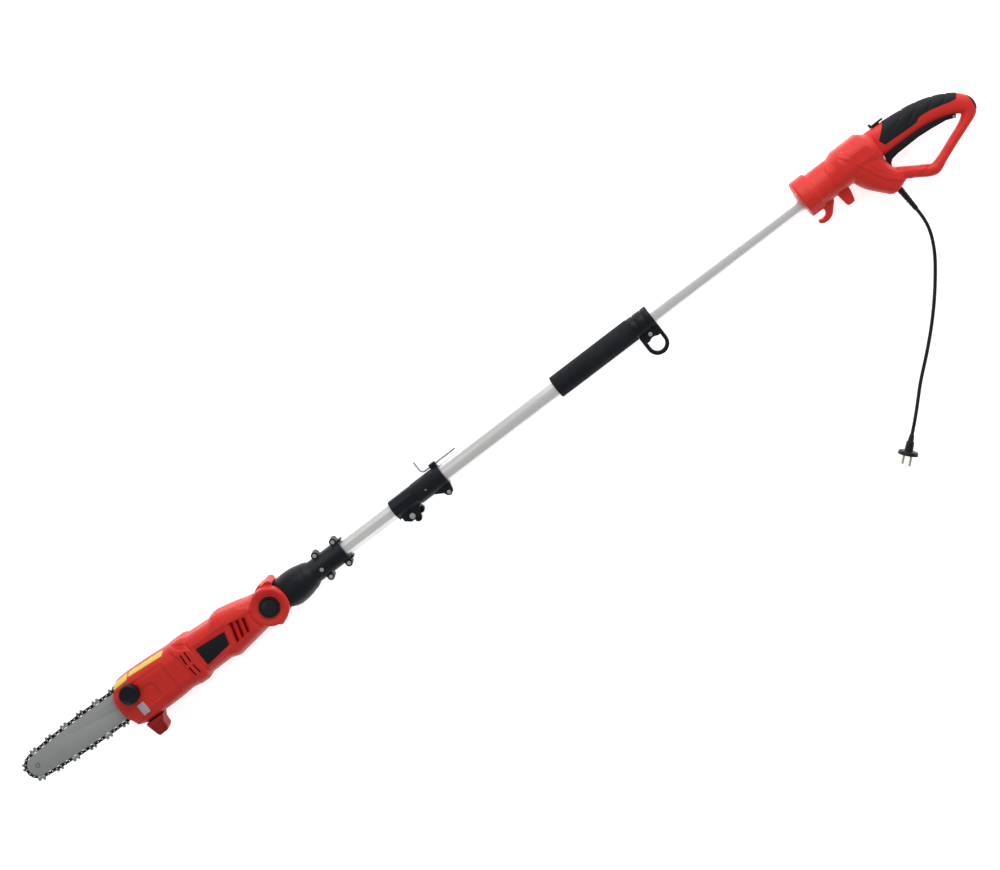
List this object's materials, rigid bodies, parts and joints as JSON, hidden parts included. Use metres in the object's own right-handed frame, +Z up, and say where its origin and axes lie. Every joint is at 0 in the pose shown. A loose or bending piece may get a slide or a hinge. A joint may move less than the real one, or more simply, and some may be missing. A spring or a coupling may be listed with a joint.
{
  "type": "telescoping pole saw",
  "caption": "Corded telescoping pole saw lying on its side: chain saw head on a tilting neck, sliding aluminium pole with clamp, foam grip, strap collar, D handle and short lead with plug.",
  "frame": {"origin": "middle of the tool's footprint, on the surface that it lies on", "axes": "+X along the pole towards the rear handle, +Y towards the tool's top side, +Z up through the sprocket cover side"},
  "size_m": [2.1072, 0.5721, 0.0913],
  "materials": {
    "red_plastic": "moulded, semi-gloss",
    "dark_red_plastic": "moulded, ribbed",
    "black_plastic": "moulded, satin",
    "black_rubber": "soft overmould",
    "foam_rubber": "smooth sleeve",
    "aluminium_tube": "satin anodised",
    "cast_aluminium": "die cast",
    "bar_steel": "ground and painted grey",
    "chain_steel": "blackened",
    "cutter_steel": "plated",
    "zinc_steel": "zinc plated",
    "gear_steel": "machined",
    "copper_winding": "lacquered",
    "translucent_window": "translucent",
    "white_plastic": "moulded",
    "cord_rubber": "smooth jacket",
    "pin_brass": "nickel plated"
  },
  "bodies": {
    "outer_pole": {"outer_tube": "aluminium_tube", "clamp_sleeve": "black_plastic", "clamp_bolt": "zinc_steel", "pole_screws": "zinc_steel", "front_grip": "foam_rubber", "strap_collar": "black_plastic", "handle_shell_right": "red_plastic", "handle_shell_left": "red_plastic", "handle_screws": "zinc_steel", "grip_overmould": "black_rubber", "trigger_pin": "zinc_steel", "trigger_spring": "zinc_steel", "power_switch": "white_plastic", "rear_bumper": "black_rubber", "strain_relief": "cord_rubber", "power_cord": "cord_rubber", "plug_body": "cord_rubber", "plug_pins": "pin_brass", "coiled_lead": "cord_rubber"},
    "inner_pole": {"inner_tube": "aluminium_tube", "neck_shell_right": "black_plastic", "neck_shell_left": "black_plastic", "neck_screws": "zinc_steel", "pole_lead": "cord_rubber"},
    "head": {"head_shell_right": "red_plastic", "head_shell_left": "red_plastic", "head_screws": "zinc_steel", "badge_plate": "black_plastic", "sprocket_cover": "red_plastic", "sight_window": "translucent_window", "bar_stud": "zinc_steel", "branch_stop": "dark_red_plastic", "guide_bar": "bar_steel", "chain_drive_links": "chain_steel", "chain_tie_straps": "chain_steel", "chain_cutters": "cutter_steel", "gear_case": "cast_aluminium", "ball_bearings": "gear_steel", "oil_tank": "white_plastic", "oil_pump": "white_plastic", "tension_screw": "zinc_steel", "tension_pin": "zinc_steel", "pivot_sleeve": "zinc_steel", "button_spring": "zinc_steel", "stator": "copper_winding", "brush_holders": "pin_brass"},
    "cover_knob": {"cover_knob": "black_plastic"},
    "oil_cap": {"oil_cap": "black_plastic"},
    "lock_button": {"lock_button": "black_plastic"},
    "nose_sprocket": {"nose_sprocket": "gear_steel"},
    "spindle": {"spindle": "gear_steel", "drive_sprocket": "gear_steel", "crown_gear": "gear_steel"},
    "motor": {"armature": "gear_steel", "pinion": "gear_steel", "cooling_fan": "white_plastic"},
    "trigger": {"trigger": "black_plastic"},
    "lock_off_slider": {"lock_off_slider": "black_plastic"},
    "clamp_knob": {"clamp_knob": "black_plastic"},
    "hex_key": {"hex_key": "zinc_steel"}
  },
  "joints": [
    {"name": "pole_slide", "type": "slide", "parent": "outer_pole", "child": "inner_pole", "axis": [-1, 0, 0], "range_m": [-0.1, 0.6]},
    {"name": "head_tilt", "type": "hinge", "parent": "inner_pole", "child": "head", "pos_m": [-0.4888, 0.02575, 0.038], "axis": [0, 0, 1], "range_deg": [0, 30]},
    {"name": "lock_button_press", "type": "slide", "parent": "head", "child": "lock_button", "axis": [0, 0, -1], "range_m": [0, 0.005], "stiffness_N_per_m": 1500, "springref_m": -0.004, "deforming": ["button_spring"]},
    {"name": "cover_knob_turn", "type": "hinge", "parent": "head", "child": "cover_knob", "pos_m": [-0.7928, 0.05575, 0.078], "axis": [0, 0, 1], "range_deg": [0, 360]},
    {"name": "oil_cap_turn", "type": "hinge", "parent": "head", "child": "oil_cap", "pos_m": [-0.8108, 0.03375, 0.002], "axis": [0, 0, -1], "range_deg": [0, 90]},
    {"name": "spindle_turn", "type": "hinge", "parent": "head", "child": "spindle", "pos_m": [-0.7498, 0.04375, 0.038], "axis": [0, 0, 1], "continuous": true},
    {"name": "motor_turn", "type": "hinge", "parent": "head", "child": "motor", "pos_m": [-0.6418, 0.04375, 0.031], "axis": [1, 0, 0], "continuous": true},
    {"name": "nose_sprocket_turn", "type": "hinge", "parent": "head", "child": "nose_sprocket", "pos_m": [-1.0237, 0.05092, 0.06], "axis": [0, 0, 1], "continuous": true},
    {"name": "trigger_pull", "type": "hinge", "parent": "outer_pole", "child": "trigger", "pos_m": [1.0022, -0.02025, 0.038], "axis": [0, 0, -1], "range_deg": [0, 3.5], "stiffness_Nm_per_rad": 6, "springref_deg": -3.44, "deforming": ["trigger_spring"]},
    {"name": "lock_off_push", "type": "slide", "parent": "outer_pole", "child": "lock_off_slider", "axis": [-1, 0, 0], "range_m": [0, 0.004], "stiffness_N_per_m": 600, "springref_m": -0.003},
    {"name": "clamp_knob_turn", "type": "hinge", "parent": "outer_pole", "child": "clamp_knob", "pos_m": [-0.1818, -0.00325, 0.016], "axis": [0, 0, 1], "range_deg": [0, 360]},
    {"name": "hex_key_slide", "type": "slide", "parent": "outer_pole", "child": "hex_key", "axis": [-1, 0, 0], "range_m": [0, 0.055]}
  ],
  "couplings": [
    {"joint": "motor_turn", "follows": "spindle_turn", "ratio": -4},
    {"joint": "nose_sprocket_turn", "follows": "spindle_turn", "ratio": 0.75}
  ]
}
